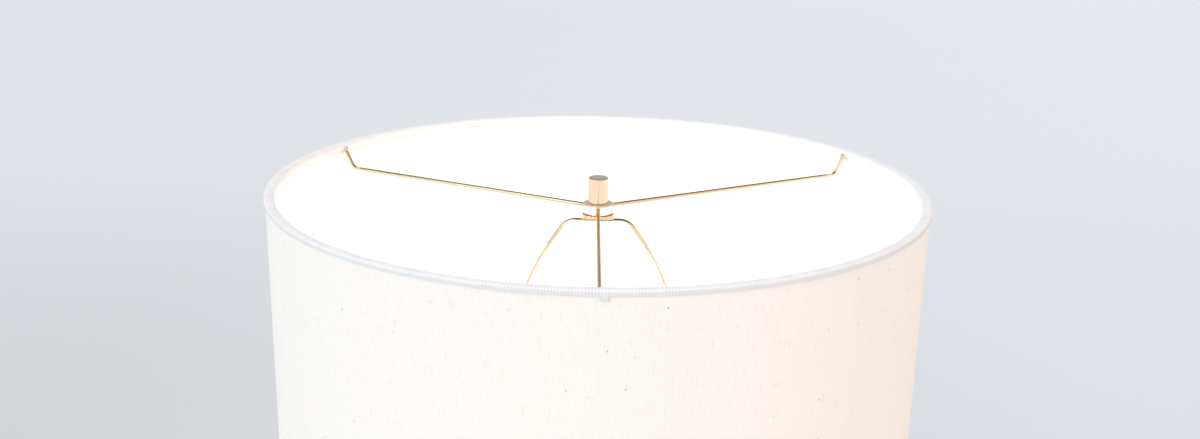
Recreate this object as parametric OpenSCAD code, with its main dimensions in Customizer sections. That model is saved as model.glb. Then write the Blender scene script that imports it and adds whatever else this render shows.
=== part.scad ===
// Tripod table lamp: a straight drum shade carried by a spider fitter and a finial on a harp,
// over a bulb socket, a brass neck, a turned hub and three splayed legs.
// Millimetres, +Z up, origin on the table under the lamp's axis. -Y is the front.

/* [Shade] */
// Outside diameter of the shade's fabric
shade_d = 406; // [300:1:480]
// Height of the shade from edge to edge
shade_h = 260; // [180:1:330]
// Thickness of the linen cover
fabric_t = 0.6; // [0.4:0.1:1]
// Thickness of the stiff white liner behind the linen
liner_t = 0.8; // [0.5:0.1:1.2]
// Thickness of the edge tape
tape_t = 0.8; // [0.5:0.1:1.2]
// Width of the edge tape that shows outside
tape_outside_h = 3.5; // [3:0.5:10]
// Width of the edge tape that is folded down inside
tape_inside_h = 7; // [5.5:0.5:12]
// Diameter of the wire rings in the shade's edges
ring_wire_d = 3; // [2:0.1:4]

/* [Spider and finial] */
// Depth of the spider's arms below the shade's top edge
spider_drop = 16.8; // [14:0.1:40]
// Diameter of the wire that the arms are made of
arm_wire_d = 2.4; // [2:0.1:3.5]
// Slope of the arms' raised ends, in degrees from level
arm_end_slope = 60; // [45:1:75]
// Inside radius of the bend in each arm
arm_bend_r = 4; // [3:0.5:6]
// Degrees by which the front arm stands off its third of the circle, seen from above
arm_turn_front = 0.7; // [-5:0.1:5]
// The same for the right arm
arm_turn_right = -0.3; // [-5:0.1:5]
// The same for the left arm
arm_turn_left = 3.4; // [-5:0.1:5]
// Diameter of the spider's centre washer
washer_d = 19.7; // [19:0.1:32]
// Thickness of the centre washer
washer_t = 1.2; // [1:0.1:3]
// Hole in the centre washer
washer_hole_d = 11; // [8:0.1:12]
// Diameter of the finial
finial_d = 12.7; // [12.3:0.1:25]
// Height of the finial
finial_h = 16.5; // [14:0.1:45]

/* [Harp] */
// Height of the harp from the ends of its wire to its top
harp_h = 200; // [180:1:260]
// Greatest width of the harp, between the wire's centre lines
harp_w = 108.6; // [96:0.1:130]
// Diameter of the harp's wire
harp_wire_d = 2.4; // [2:0.1:3]
// Half the length of the harp's level top
harp_top_half = 13.4; // [13:0.1:20]
// Bend radius of the harp's shoulders
shoulder_bend_r = 12; // [6:0.5:14]
// Lean of the wire below the shoulders, in degrees from upright
shoulder_lean = 37; // [30:1:44]
// Height of the harp's upright feet
harp_foot_h = 34; // [32:1:50]
// Distance from the lamp's axis to each foot
harp_foot_x = 27.5; // [25:0.1:30]
// Length of the swivel clip on top of the harp
clip_l = 20.8; // [16:0.1:24]
// Height of the stud's seat above the wire
stud_stand = 10; // [8:0.1:14]
// Diameter of the stud's thread
stud_d = 6.2; // [5:0.1:6.35]
// Length of the sleeves that lock the harp's feet
sleeve_l = 14; // [12:1:18]

/* [Socket and bulb] */
// Outside diameter of the socket's shell
socket_d = 31.2; // [30.6:0.1:34]
// Height of the socket above the saddle
socket_h = 58; // [57.4:0.1:66]
// Height of the switch's shaft above the saddle
switch_h = 22; // [20.5:0.5:23]
// Diameter of the switch knob
knob_d = 13; // [11:0.5:16]
// Diameter of the bulb's dome
bulb_d = 60; // [50:1:66]
// Length of the bulb from contact to crown
bulb_l = 108; // [100:1:115]

/* [Hub and neck] */
// Height of the hub's underside above the table
stand_h = 355; // [280:1:420]
// Diameter of the hub at its foot
hub_d = 108; // [106:1:130]
// Diameter of the hub at its top
hub_top_d = 94; // [84:1:110]
// Height of the hub
hub_h = 40; // [38:1:60]
// Diameter of the wiring space turned into the hub
cavity_d = 32; // [30:1:34]
// Diameter of the brass plate on the hub
top_plate_d = 60; // [44:1:70]
// Length of the brass neck
neck_h = 50; // [30:1:90]
// Diameter of the brass neck
neck_d = 18; // [15:0.5:24]
// Bore for the cord in its bushing
cord_bore_d = 6.6; // [6:0.1:8]

/* [Legs] */
// Radius of the circle that the feet stand on
foot_circle_r = 165; // [130:1:200]
// Distance from the axis to each leg where it meets the hub
leg_hub_r = 36; // [35:0.5:38]
// Diameter of a leg at the hub
leg_top_d = 22; // [18:0.5:23]
// Extra diameter at the belly of a leg
leg_belly = 6.4; // [0:0.2:12]
// Depth of the leg sockets in the hub
leg_socket_depth = 14; // [10:0.5:15]
// Outside diameter of the brass ferrules on the feet
ferrule_d = 16.4; // [14:0.1:20]
// Height of the ferrules, along the leg
ferrule_h = 30; // [20:1:45]
// Thickness of the rubber pads
pad_t = 2.2; // [1.5:0.1:4]

/* [Hidden] */
$fn = 64;

// Clearances
glue_gap = 0.05; // between pieces that are glued, crimped or screwed together
rest_gap = 0.1; // between pieces that rest on each other and come apart
slide_gap = 0.3; // round a shaft, a wire or a thread

// The shade, seen in section at the radius of its wall
shade_r = shade_d / 2;
liner_r = shade_r - fabric_t - glue_gap; // outside of the liner
wall_t = fabric_t + glue_gap + liner_t;
ring_r = shade_r - wall_t - slide_gap - ring_wire_d / 2;
ring_drop = tape_t + ring_wire_d / 2; // from the shade's edge to the ring's wire

// Sizes that lamp fittings share
pipe_d = 10.2;
pipe_bore_d = 6.6;
brass_wall = 0.8;
top_plate_t = 2;
check_ring_d = 34;
check_ring_t = 3;
neck_bead = 1.5; // how far the beads stand out at the neck's ends
neck_bead_h = 3;

// The saddle and the harp's feet
saddle_t = 1.4;
saddle_eye_d = 24;
saddle_arm_w = 7;
saddle_bend_r = 2; // inside the bend
shoulder_h = 12; // the sleeves rest here
tip_w = 4;
tip_h = 10;
foot_pad_t = 1.2;
foot_pad_w = 4.5;
foot_pad_h = 12;
sleeve_bore_d = 5.5;
sleeve_d = 7;

// The clip and the stud
clip_inner_w = 3.6;
clip_t = 0.5;
clip_wall_h = 4.3; // above the wire's centre, at the clip's ends
clip_dip_h = 2; // above the wire's centre, in the middle
clip_lean = 0.6; // how much shorter the walls are at the top
eye_d = 3.4;
eye_t = 2;
pivot_d = 2;
stud_neck_d = 3;
rivet_d = 3.8;
rivet_t = 0.8;
seat_d = 13;
seat_t = 1;
stud_thread_l = 11.3;

// The socket, measured up from the saddle
cap_to_shaft = 1.5; // the cap stops this far under the switch's shaft
cap_neck_d = 15;
cap_neck_h = 5;
cap_flare_h = 8;
cap_thread_h = 9;
shell_t = 0.6;
shell_base = 14;
card_t = 0.7;
body_top = 30;
screw_shell_t = 0.5;
contact_t = 1.2;
switch_shaft_d = 3.2;
cap_h = switch_h - switch_shaft_d / 2 - cap_to_shaft;
knob_l = 12;
knob_grooves = 16;
knob_groove_d = 1.6;

// The bulb, measured up from its own contact
bulb_gap = 0.2; // between the contacts
bulb_cap_h = 21;
insulator_h = 6;
bulb_cap_t = 0.5;
housing_neck_d = 26.8;
housing_h = 39;
housing_t = 1.5;
globe_t = 1.2;
board_t = 1.6;
led_count = 8;

// The hub's fittings
cavity_h = 24;
nut_flats = 14.3;
nut_t = 4;
lock_washer_d = 16.4;
lock_washer_t = 1.2;
bottom_plate_d = 45;
bottom_plate_t = 1.5;
plate_screw_r = 19.2;
plate_screw_d = 3;
plate_screw_l = 10;
plate_screw_head_d = 6;
plate_screw_head_t = 1.6;
bushing_d = 11;
bushing_l = 14;
bushing_flange_d = 16;
bushing_flange_t = 2;
bushing_seat_depth = 3; // from the hub's widest side to the flat under the flange
cord_hole_h = 12;

// The legs' fittings
leg_bolt_d = 6;
leg_bolt_l = 40;
insert_d = 11;
insert_l = 14;
ferrule_t = 0.95;
ferrule_floor = 1.2;
pad_d = 13;

// Heights, each one standing on the one before
hub_top_z = stand_h + hub_h;
neck_z = hub_top_z + top_plate_t;
check_z = neck_z + neck_h;
saddle_z = check_z + check_ring_t;
socket_z = saddle_z + saddle_t;
shoulder_z = socket_z + shoulder_h;
harp_foot_z = shoulder_z + slide_gap;
harp_top_z = harp_foot_z + harp_h;
seat_z = harp_top_z + stud_stand; // top of the stud's seat
washer_z = seat_z + rest_gap; // underside of the spider's washer
arm_z = washer_z - glue_gap - arm_wire_d / 2; // the arms are welded under the washer
finial_z = washer_z + washer_t + rest_gap;
rim_z = arm_z + spider_drop;
shade_bottom_z = rim_z - shade_h;
switch_z = socket_z + switch_h;
bulb_z = socket_z + body_top + contact_t + bulb_gap;
cord_z = stand_h + cord_hole_h;

// The harp's wire: the shoulder turns down to the lean, a long arc brings it upright at the
// widest point, and two equal and opposite arcs bring it in to the feet.
upper_bow_r = (harp_w / 2 - harp_top_half - shoulder_bend_r * cos(shoulder_lean))
    / (1 - cos(shoulder_lean));
upper_bow_h = shoulder_bend_r * (1 - sin(shoulder_lean)) + upper_bow_r * sin(shoulder_lean);
lower_bow_h = harp_h - upper_bow_h - harp_foot_h;
lower_bow_in = harp_w / 2 - harp_foot_x;
lower_turn = 2 * atan(lower_bow_in / lower_bow_h);
lower_bow_r = lower_bow_h / (2 * sin(lower_turn));

// The spider's arms: out from under the washer, then up at a slope to end against the ring
arm_end_r = ring_r - (ring_wire_d / 2 + rest_gap) * cos(arm_end_slope);
arm_end_drop = ring_drop + (ring_wire_d / 2 + rest_gap) * sin(arm_end_slope);
arm_rise = spider_drop - arm_end_drop;
arm_corner_r = arm_end_r - arm_rise / tan(arm_end_slope);
arm_bend_axis_r = arm_bend_r + arm_wire_d / 2;
arm_bend_take = arm_bend_axis_r * tan(arm_end_slope / 2); // length that the bend takes from each run
arm_start_r = seat_d / 2 + slide_gap; // clear of the stud's seat

// The legs lean in from the feet to the hub
leg_splay = atan((foot_circle_r - leg_hub_r) / stand_h);
leg_l = stand_h / cos(leg_splay); // along the leg, from the table to the hub's underside
leg_core_d = ferrule_d - 2 * ferrule_t - 2 * glue_gap; // the wood inside the ferrule
leg_ends = ["front", "right", "left"];

// ---------------------------------------------------------------- helpers

// Points on an arc, for outlines
function arc(x, y, r, from, to, steps = 6) =
    [for (i = [0:steps]) let (a = from + (to - from) * i / steps) [x + r * cos(a), y + r * sin(a)]];

module tube(outer_d, inner_d, h) {
    difference() {
        cylinder(d = outer_d, h = h);
        translate([0, 0, -1]) cylinder(d = inner_d, h = h + 2);
    }
}

// A disc with a rounded upper edge and a hole through it
module turned_disc(d, hole_d, t, edge_r) {
    rotate_extrude() polygon(concat(
        [[hole_d / 2, 0], [d / 2, 0]],
        arc(d / 2 - edge_r, t - edge_r, edge_r, 0, 90),
        [[hole_d / 2, t]]
    ));
}

// Stations [x, z, heading] along a wire that is bent in the XZ plane. Each step of the route is
// ["run", length] or ["bend", radius, angle], and a positive angle turns the wire upwards.
wire_step_angle = 6;
function stations(route, from, i = 0) = i == len(route) ? [] : let (
        step = route[i],
        bends = step[0] == "bend",
        side = bends ? sign(step[2]) : 0,
        count = bends ? ceil(abs(step[2]) / wire_step_angle) : 1,
        heading = from[2],
        next = [for (k = [1:count]) bends
            ? let (to = heading + step[2] * k / count) [
                from[0] + side * step[1] * (sin(to) - sin(heading)),
                from[1] - side * step[1] * (cos(to) - cos(heading)), to]
            : [from[0] + step[1] * cos(heading), from[1] + step[1] * sin(heading), heading]]
    ) concat(next, stations(route, next[count - 1], i + 1));

// A round wire swept along such stations
module swept_wire(d, path, sides = 16) {
    last = len(path) - 1;
    rings = [for (p = path, j = [0:sides - 1]) let (a = 360 / sides * (j + 0.5)) [
        p[0] - d / 2 * cos(a) * sin(p[2]), d / 2 * sin(a), p[1] + d / 2 * cos(a) * cos(p[2])]];
    quads = [for (i = [0:last - 1], j = [0:sides - 1]) let (k = (j + 1) % sides)
        [i * sides + j, i * sides + k, (i + 1) * sides + k, (i + 1) * sides + j]];
    ends = [[for (j = [sides - 1:-1:0]) j], [for (j = [0:sides - 1]) last * sides + j]];
    polyhedron(rings, concat(quads, ends));
}

// A screwdriver's slot across a head whose face is at z = 0, cut towards -Z
slot_w = 0.9;
slot_depth = 0.9;
module driver_slot(head_d) {
    translate([-head_d, -slot_w / 2, -slot_depth]) cube([2 * head_d, slot_w, slot_depth + 1]);
}

// Turns +X to the front, the right or the left of the lamp
module at_third(i) rotate([0, 0, 120 * i - 90]) children();

// Puts +Z along a leg, with the origin where the leg's axis meets the table
module along_leg(i) {
    at_third(i) translate([foot_circle_r, 0, 0]) rotate([0, -leg_splay, 0]) children();
}

module below(z) translate([-300, -300, z - 100]) cube([600, 600, 100]);

module for_each_leg() {
    for (i = [0:2]) along_leg(i) children();
}

// Puts +Z out of the back of the hub, along the cord's hole
module along_cord(y) translate([0, y, cord_z]) rotate([-90, 0, 0]) children();

// Puts +Z forwards along the switch's shaft
module along_switch(y) translate([0, -y, switch_z]) rotate([90, 0, 0]) children();

// ---------------------------------------------------------------- hub and neck

// Side of the hub: it tapers to the top, with a slight belly
hub_edge_r = 4;
hub_belly = 1.5;
function hub_side_r(t) = hub_d / 2 + (hub_top_d - hub_d) / 2 * t + hub_belly * sin(180 * t);
bushing_seat_y = hub_d / 2 - bushing_seat_depth;

module hub() {
    side_from = hub_edge_r / hub_h;
    side = [for (i = [1:9]) let (t = side_from + (1 - 2 * side_from) * i / 10)
        [hub_side_r(t), t * hub_h]];
    color("burlywood") difference() {
        translate([0, 0, stand_h]) rotate_extrude() polygon(concat(
            [[0, 0]],
            arc(hub_side_r(side_from) - hub_edge_r, hub_edge_r, hub_edge_r, -90, 0),
            side,
            arc(hub_side_r(1 - side_from) - hub_edge_r, hub_h - hub_edge_r, hub_edge_r, 0, 90),
            [[0, hub_h]]
        ));
        // wiring space and the pipe's hole
        translate([0, 0, stand_h - 1]) cylinder(d = cavity_d, h = cavity_h + 1);
        translate([0, 0, stand_h]) cylinder(d = pipe_d + 2 * slide_gap, h = hub_h + 1);
        // legs and their threaded inserts
        for_each_leg() {
            translate([0, 0, leg_l - 20])
                cylinder(d = leg_top_d + 2 * slide_gap, h = leg_socket_depth + 20);
            translate([0, 0, leg_l])
                cylinder(d = insert_d + 2 * glue_gap, h = leg_socket_depth + insert_l + slide_gap);
        }
        // cord: a flat for the flange, a seat for the bushing, and the way in to the wiring space
        along_cord(bushing_seat_y) cylinder(d = bushing_flange_d + 2 * slide_gap, h = 20);
        along_cord(bushing_seat_y - bushing_l)
            cylinder(d = bushing_d + 2 * glue_gap, h = bushing_l + 20);
        along_cord(0) cylinder(d = cord_bore_d + 2 * slide_gap, h = hub_d);
        // pilot holes for the bottom plate's screws
        for (i = [0:2]) at_third(i + 0.5) translate([plate_screw_r, 0, stand_h - 1])
            cylinder(d = plate_screw_d + 2 * glue_gap, h = plate_screw_l + 1);
    }
}

module hub_top_plate() {
    color("gold") translate([0, 0, hub_top_z])
        turned_disc(top_plate_d, pipe_d + 2 * slide_gap, top_plate_t, 1.2);
}

module hub_bottom_plate() {
    color("gold") translate([0, 0, stand_h - bottom_plate_t]) difference() {
        cylinder(d = bottom_plate_d, h = bottom_plate_t);
        for (i = [0:2]) at_third(i + 0.5) translate([plate_screw_r, 0, -1])
            cylinder(d = plate_screw_d + 2 * glue_gap, h = bottom_plate_t + 2);
    }
}

module hub_plate_screws() {
    color("silver") for (i = [0:2]) at_third(i + 0.5)
        translate([plate_screw_r, 0, stand_h - bottom_plate_t]) {
            translate([0, 0, -plate_screw_head_t]) difference() {
                cylinder(d = plate_screw_head_d, h = plate_screw_head_t);
                rotate([180, 0, 40 * i]) driver_slot(plate_screw_head_d);
            }
            cylinder(d = plate_screw_d, h = plate_screw_l);
        }
}

module cord_bushing() {
    color("dimgray") difference() {
        union() {
            along_cord(bushing_seat_y - bushing_l) cylinder(d = bushing_d, h = bushing_l);
            along_cord(bushing_seat_y) cylinder(d = bushing_flange_d, h = bushing_flange_t);
        }
        along_cord(bushing_seat_y - bushing_l - 1)
            cylinder(d = cord_bore_d, h = bushing_l + bushing_flange_t + 2);
    }
}

// The pipe runs from the wiring space to the socket's cap, and clamps what lies between
pipe_z = stand_h + 8;
module lamp_pipe() {
    color("silver") translate([0, 0, pipe_z])
        tube(pipe_d, pipe_bore_d, socket_z + cap_thread_h - 1 - pipe_z);
}

module pipe_lock_washer() {
    color("silver") translate([0, 0, stand_h + cavity_h - lock_washer_t])
        tube(lock_washer_d, pipe_d + 2 * slide_gap, lock_washer_t);
}

module pipe_nut() {
    color("silver") translate([0, 0, stand_h + cavity_h - lock_washer_t - nut_t]) difference() {
        cylinder(d = nut_flats / cos(30), h = nut_t, $fn = 6);
        translate([0, 0, -1]) cylinder(d = pipe_d + 2 * glue_gap, h = nut_t + 2);
    }
}

// A tube with a rounded bead at each end
module neck_tube() {
    bead_r = neck_d / 2 + neck_bead;
    round_r = neck_bead_h / 2;
    color("gold") translate([0, 0, neck_z]) rotate_extrude() polygon(concat(
        [[pipe_d / 2 + slide_gap, 0]],
        arc(bead_r - round_r, round_r, round_r, -90, 90),
        [[neck_d / 2, neck_bead_h], [neck_d / 2, neck_h - neck_bead_h]],
        arc(bead_r - round_r, neck_h - round_r, round_r, -90, 90),
        [[pipe_d / 2 + slide_gap, neck_h]]
    ));
}

module check_ring() {
    color("gold") translate([0, 0, check_z])
        turned_disc(check_ring_d, pipe_d + 2 * slide_gap, check_ring_t, 1.5);
}

// A flat strip with an eye on the pipe, whose ends turn up into shouldered tips
tip_x = harp_foot_x - foot_pad_t / 2 - glue_gap; // outer face of the tips
module saddle_arm() {
    bend_x = tip_x - saddle_t - saddle_bend_r;
    translate([0, -saddle_arm_w / 2, 0]) cube([bend_x, saddle_arm_w, saddle_t]);
    translate([bend_x, saddle_arm_w / 2, saddle_t + saddle_bend_r]) rotate([90, 0, 0])
        rotate([0, 0, -90]) rotate_extrude(angle = 90)
            translate([saddle_bend_r, 0]) square([saddle_t, saddle_arm_w]);
    translate([tip_x - saddle_t, -saddle_arm_w / 2, saddle_t + saddle_bend_r])
        cube([saddle_t, saddle_arm_w, shoulder_h - saddle_bend_r]);
    translate([tip_x - saddle_t, -tip_w / 2, saddle_t + saddle_bend_r])
        cube([saddle_t, tip_w, shoulder_h - saddle_bend_r + tip_h]);
}

module harp_saddle() {
    color("gold") translate([0, 0, saddle_z]) difference() {
        union() {
            cylinder(d = saddle_eye_d, h = saddle_t);
            saddle_arm();
            mirror([1, 0, 0]) saddle_arm();
        }
        translate([0, 0, -1]) cylinder(d = pipe_d + 2 * slide_gap, h = saddle_t + 2);
    }
}

// ---------------------------------------------------------------- legs

// Radius of a leg, from the ferrule (t = 0) to the hub (t = 1), with its belly above the middle
function leg_r(t) = ferrule_d / 2 + (leg_top_d - ferrule_d) / 2 * t
    + leg_belly / 2 * sin(180 * pow(t, 1.3));
leg_stations = 20;

module leg(i) {
    top = leg_l + leg_socket_depth - slide_gap;
    body = [for (s = [0:leg_stations]) let (t = s / leg_stations)
        [leg_r(t), ferrule_h + (leg_l - ferrule_h) * t]];
    color("burlywood") difference() {
        along_leg(i) rotate_extrude() polygon(concat(
            [[0, -8], [leg_core_d / 2, -8], [leg_core_d / 2, ferrule_h]],
            body,
            [[leg_top_d / 2, top - 1], [leg_top_d / 2 - 1, top], [0, top]]
        ));
        along_leg(i) translate([0, 0, top - (leg_bolt_l - insert_l) - slide_gap])
            cylinder(d = leg_bolt_d + 2 * glue_gap, h = leg_bolt_l);
        below(pad_t + ferrule_floor);
    }
}

module leg_bolts() {
    color("silver") for_each_leg()
        translate([0, 0, leg_l + leg_socket_depth + insert_l - leg_bolt_l])
            cylinder(d = leg_bolt_d, h = leg_bolt_l);
}

module leg_inserts() {
    color("gold") for_each_leg() translate([0, 0, leg_l + leg_socket_depth])
        tube(insert_d, leg_bolt_d + 2 * glue_gap, insert_l);
}

module leg_ferrules() {
    color("gold") for (i = [0:2]) difference() {
        along_leg(i) translate([0, 0, -8]) cylinder(d = ferrule_d, h = ferrule_h + 8);
        difference() {
            along_leg(i) translate([0, 0, -8])
                cylinder(d = ferrule_d - 2 * ferrule_t, h = ferrule_h + 16);
            below(pad_t + ferrule_floor);
        }
        below(pad_t);
    }
}

module foot_pads() {
    color("dimgray") for (i = [0:2]) intersection() {
        along_leg(i) translate([0, 0, -8]) cylinder(d = pad_d, h = 20);
        below(pad_t);
        translate([-300, -300, 0]) cube([600, 600, 10]);
    }
}

// ---------------------------------------------------------------- socket

// The cap's outline swells from its threaded neck to the shell in a smooth ogee
function ogee(t) = (1 - cos(180 * t)) / 2;
shell_inner_d = socket_d - 2 * shell_t;
cap_inner_d = socket_d + 2 * glue_gap;

module socket_cap() {
    cap_d = cap_inner_d + 2 * brass_wall;
    steps = 10;
    outer = [for (i = [0:steps]) let (t = i / steps)
        [cap_neck_d / 2 + (cap_d - cap_neck_d) / 2 * ogee(t), cap_neck_h + cap_flare_h * t]];
    inner = [for (i = [0:steps]) let (t = 1 - i / steps)
        [cap_neck_d / 2 - brass_wall + (cap_d - cap_neck_d) / 2 * ogee(t),
            cap_neck_h + brass_wall + cap_flare_h * t]];
    color("gold") difference() {
        translate([0, 0, socket_z]) rotate_extrude() polygon(concat(
            [[pipe_d / 2 + glue_gap, 0], [cap_neck_d / 2, 0]],
            outer,
            [[cap_d / 2, cap_h], [cap_inner_d / 2, cap_h]],
            inner,
            [[cap_neck_d / 2 - brass_wall, cap_thread_h], [pipe_d / 2 + glue_gap, cap_thread_h]]
        ));
        translate([0, 0, socket_z + cap_neck_h / 2]) rotate([-90, 0, 0])
            cylinder(d = 3.1, h = cap_neck_d);
    }
}

module cap_set_screw() {
    color("silver") translate([0, 0, socket_z + cap_neck_h / 2]) rotate([-90, 0, 0]) {
        translate([0, 0, pipe_d / 2 + glue_gap]) cylinder(d = 3, h = cap_neck_d / 2 - pipe_d / 2);
        translate([0, 0, cap_neck_d / 2 + glue_gap]) difference() {
            cylinder(d = 4.6, h = 1.8);
            translate([0, 0, 1.8]) rotate([0, 0, 25]) driver_slot(4.6);
        }
    }
}

// A round tube whose side is drilled for the switch's shaft
module drilled_tube(outer_d, inner_d, from_h, to_h) {
    difference() {
        translate([0, 0, socket_z + from_h]) tube(outer_d, inner_d, to_h - from_h);
        along_switch(0) cylinder(d = switch_shaft_d + 2 * slide_gap, h = socket_d);
    }
}

module socket_shell() {
    color("gold") {
        drilled_tube(socket_d, shell_inner_d, shell_base, socket_h - 1);
        translate([0, 0, socket_z + socket_h - 1]) rotate_extrude()
            translate([socket_d / 2 - shell_t / 2, 0]) circle(r = 0.9);
    }
}

card_d = shell_inner_d - 2 * glue_gap;
card_inner_d = card_d - 2 * card_t;
module socket_card_liner() {
    color("tan") drilled_tube(card_d, card_inner_d, shell_base, socket_h - 3);
}

body_d = card_inner_d - 2 * slide_gap;
terminal_flat_x = body_d / 2 - 2.4;
module socket_body() {
    color("dimgray") difference() {
        translate([0, 0, socket_z + shell_base]) cylinder(d = body_d, h = body_top - shell_base);
        along_switch(5) cylinder(d = switch_shaft_d + 2 * glue_gap, h = body_d);
        for (side = [-1, 1]) {
            translate([side * (terminal_flat_x + 10), 0, switch_z])
                cube([20, body_d + 2, 11], center = true);
            translate([side * terminal_flat_x, 0, switch_z]) rotate([0, side * -90, 0])
                cylinder(d = 3.1, h = 4);
        }
    }
}

module terminal_screws() {
    color("gold") for (side = [-1, 1]) translate([side * terminal_flat_x, 0, switch_z])
        rotate([0, side * 90, 0]) {
            difference() {
                cylinder(d = 6, h = 1.6);
                translate([0, 0, 1.6]) rotate([0, 0, 15]) driver_slot(6);
            }
            translate([0, 0, -3.5]) cylinder(d = 3, h = 3.5);
        }
}

screw_shell_inner_d = 26.3;
module socket_screw_shell() {
    color("silver") translate([0, 0, socket_z + body_top + glue_gap])
        tube(screw_shell_inner_d + 2 * screw_shell_t, screw_shell_inner_d, socket_h - 4 - body_top);
}

module socket_contact() {
    color("gold") translate([0, 0, socket_z + body_top]) cylinder(d = 7, h = contact_t);
}

shaft_from = 5.5;
knob_from = socket_d / 2 + 3;
module switch_shaft() {
    color("gold") along_switch(shaft_from)
        cylinder(d = switch_shaft_d, h = knob_from + 7 - shaft_from - glue_gap);
}

// A grooved knob, pressed on the shaft
module switch_knob() {
    groove_d = knob_groove_d;
    color("dimgray") along_switch(knob_from) difference() {
        rotate_extrude() polygon(concat(
            [[0, 0], [knob_d / 2 - 0.8, 0], [knob_d / 2, 0.8]],
            arc(knob_d / 2 - 1.5, knob_l - 1.5, 1.5, 0, 90),
            [[0, knob_l]]
        ));
        for (i = [0:knob_grooves - 1]) rotate([0, 0, 360 / knob_grooves * i])
            translate([knob_d / 2 + groove_d * 0.2, 0, -1]) cylinder(d = groove_d, h = knob_l + 2, $fn = 24);
        translate([0, 0, -1]) cylinder(d = switch_shaft_d + 2 * glue_gap, h = 8);
    }
}

// ---------------------------------------------------------------- bulb

globe_r = bulb_d / 2;
globe_centre = bulb_l - globe_r;
bulb_cap_d = screw_shell_inner_d - 2 * 0.2;
housing_top = contact_t + insulator_h + bulb_cap_h + housing_h;
housing_foot = contact_t + insulator_h + bulb_cap_h; // top of the screw cap
globe_foot_r = sqrt(pow(globe_r, 2) - pow(globe_centre - housing_top, 2));

module on_bulb(h) translate([0, 0, bulb_z + h]) children();

module bulb_contact() color("silver") on_bulb(0) cylinder(d = 5, h = contact_t);

module bulb_insulator() {
    inside_d = bulb_cap_d - 2 * bulb_cap_t - 2 * glue_gap;
    color("dimgray") on_bulb(contact_t) {
        cylinder(d1 = 9, d2 = inside_d, h = insulator_h);
        translate([0, 0, insulator_h]) cylinder(d = inside_d, h = 2);
    }
}

module bulb_cap() {
    color("silver") on_bulb(contact_t + insulator_h)
        tube(bulb_cap_d, bulb_cap_d - 2 * bulb_cap_t, bulb_cap_h);
}

// A plastic cone that swells from the screw cap to the dome
module bulb_housing() {
    steps = 10;
    foot_r = housing_neck_d / 2;
    outer = [for (i = [0:steps]) let (t = i / steps)
        [foot_r + (globe_foot_r + 0.4 - foot_r) * sin(90 * t), housing_h * t]];
    inner = [for (i = [0:steps]) let (t = 1 - i / steps)
        [foot_r - housing_t + (globe_foot_r + 0.4 - foot_r) * sin(90 * t), housing_h * t]];
    plug_r = bulb_cap_d / 2 - bulb_cap_t - glue_gap;
    color("white") on_bulb(housing_foot + glue_gap) rotate_extrude() polygon(concat(
        [[plug_r - 1, -6], [plug_r, -6], [plug_r, 0]],
        outer,
        inner,
        [[plug_r - 1, 0]]
    ));
}

module bulb_globe() {
    color("white") on_bulb(globe_centre) difference() {
        sphere(r = globe_r);
        sphere(r = globe_r - globe_t);
        translate([0, 0, housing_top - globe_centre - globe_r + glue_gap * 2])
            cylinder(r = globe_r + 1, h = 2 * globe_r, center = true);
    }
}

module led_board() {
    color("white") on_bulb(housing_top - 3) {
        cylinder(r = globe_foot_r - housing_t - slide_gap, h = board_t);
        for (i = [0:led_count - 1]) rotate([0, 0, 360 / led_count * i])
            translate([globe_foot_r * 0.55, 0, board_t]) cube([3.5, 2.8, 1.4], center = true);
    }
}

// ---------------------------------------------------------------- harp

harp_route = [
    ["run", harp_top_half],
    ["bend", shoulder_bend_r, shoulder_lean - 90],
    ["bend", upper_bow_r, -shoulder_lean],
    ["bend", lower_bow_r, -lower_turn],
    ["bend", lower_bow_r, lower_turn],
    ["run", harp_foot_h - foot_pad_h + 1]
];

harp_half_path = stations(harp_route, [0, harp_top_z, 0]);
harp_path = concat(
    [for (i = [len(harp_half_path) - 1:-1:0]) let (p = harp_half_path[i]) [-p[0], p[1], -p[2]]],
    harp_half_path
);

// One wire, flattened into an eye at the top and into pads at its feet
module harp_bow() {
    color("gold") difference() {
        union() {
            swept_wire(harp_wire_d, harp_path);
            translate([0, 0, harp_top_z - eye_t / 2]) cylinder(d = eye_d, h = eye_t);
            for (side = [-1, 1])
                translate([side * harp_foot_x - foot_pad_t / 2, -foot_pad_w / 2, harp_foot_z])
                    cube([foot_pad_t, foot_pad_w, foot_pad_h]);
        }
        translate([0, 0, harp_top_z - 5]) cylinder(d = pivot_d + 2 * glue_gap, h = 10);
    }
}

// A folded channel that the wire lies in. The upper edges of its walls dip in the middle.
clip_floor_top = -harp_wire_d / 2 - glue_gap;
clip_floor = clip_floor_top - clip_t;
module harp_clip() {
    half = clip_l / 2;
    top_half = half - clip_lean;
    sag = clip_wall_h - clip_dip_h;
    dip_r = (pow(top_half, 2) + pow(sag, 2)) / (2 * sag);
    outer_w = clip_inner_w + 2 * clip_t;
    color("gold") translate([0, 0, harp_top_z]) difference() {
        translate([0, outer_w / 2, 0]) rotate([90, 0, 0]) linear_extrude(outer_w) difference() {
            polygon([[-half, clip_floor], [half, clip_floor],
                [top_half, clip_wall_h], [-top_half, clip_wall_h]]);
            translate([0, clip_dip_h + dip_r]) circle(r = dip_r, $fn = 180);
        }
        translate([-clip_l, -clip_inner_w / 2, clip_floor_top])
            cube([2 * clip_l, clip_inner_w, 20]);
        translate([0, 0, clip_floor - 1]) cylinder(d = pivot_d + 2 * glue_gap, h = clip_t + 2);
    }
}

sleeve_axis_x = harp_foot_x - 0.5;
module harp_sleeve(side) {
    color("gold") translate([side * sleeve_axis_x, 0, shoulder_z + rest_gap])
        tube(sleeve_d, sleeve_bore_d, sleeve_l);
}

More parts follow.
